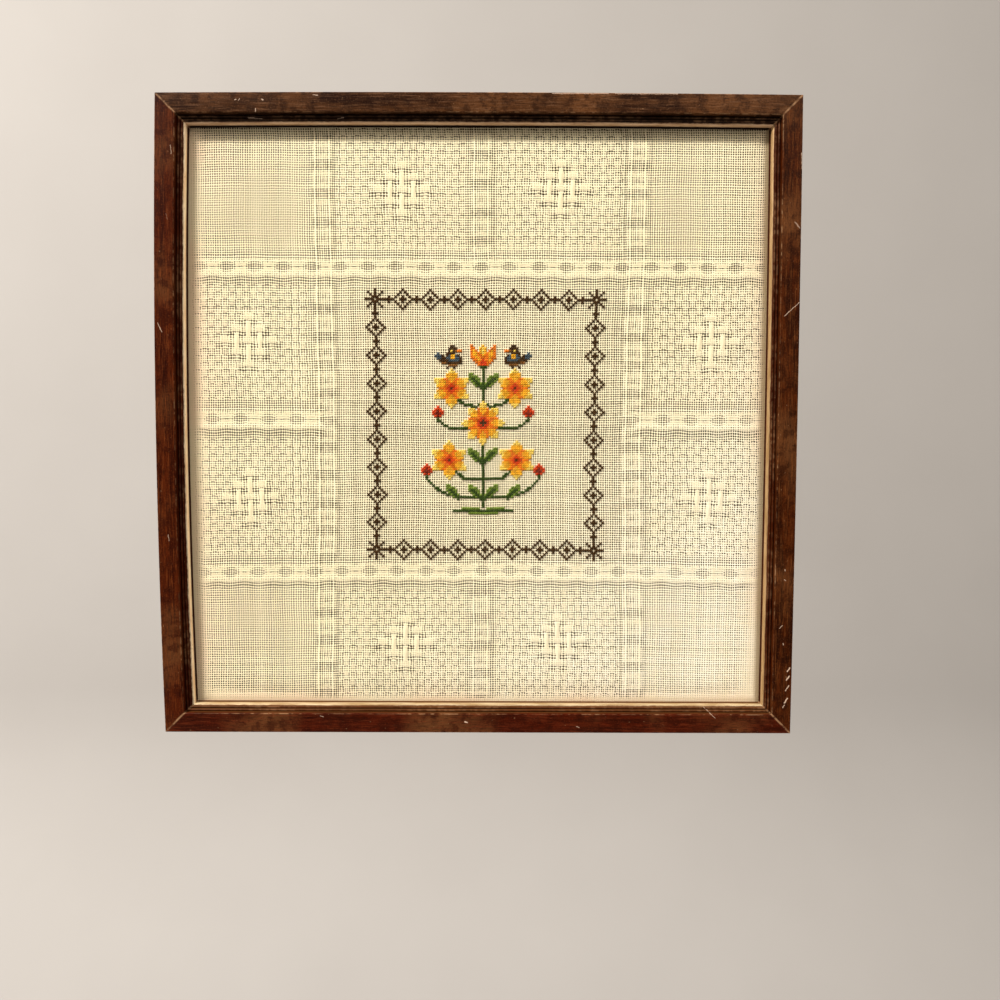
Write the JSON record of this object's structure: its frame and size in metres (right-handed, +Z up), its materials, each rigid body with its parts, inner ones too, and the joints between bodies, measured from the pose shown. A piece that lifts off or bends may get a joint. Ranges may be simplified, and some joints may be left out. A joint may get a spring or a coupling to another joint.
{
  "type": "cross stitch sampler in a wooden picture frame",
  "caption": "Square framed cross stitch sampler: block-woven cream cloth with a stitched flower motif and border, in a dark stained mitred wood frame with a gilt inner edge.",
  "frame": {"origin": "middle of the top rail's back face, where the frame meets the wall", "axes": "+X to the right as seen from the front, +Z up, the front faces -Y and the wall is at Y = 0"},
  "size_m": [0.3844, 0.015, 0.3818],
  "materials": {
    "stained_wood": "dark red-brown stained hardwood, satin varnish, worn arrises, gilt line on the inner edge",
    "evenweave_cloth": "cream cotton evenweave with woven bands and floats, cross stitched in cotton thread",
    "backing_board": "plain brown hardboard"
  },
  "bodies": {
    "root": {"rail_top": "stained_wood", "rail_bottom": "stained_wood", "rail_left": "stained_wood", "rail_right": "stained_wood", "cloth": "evenweave_cloth", "backing_board": "backing_board"}
  },
  "joints": []
}
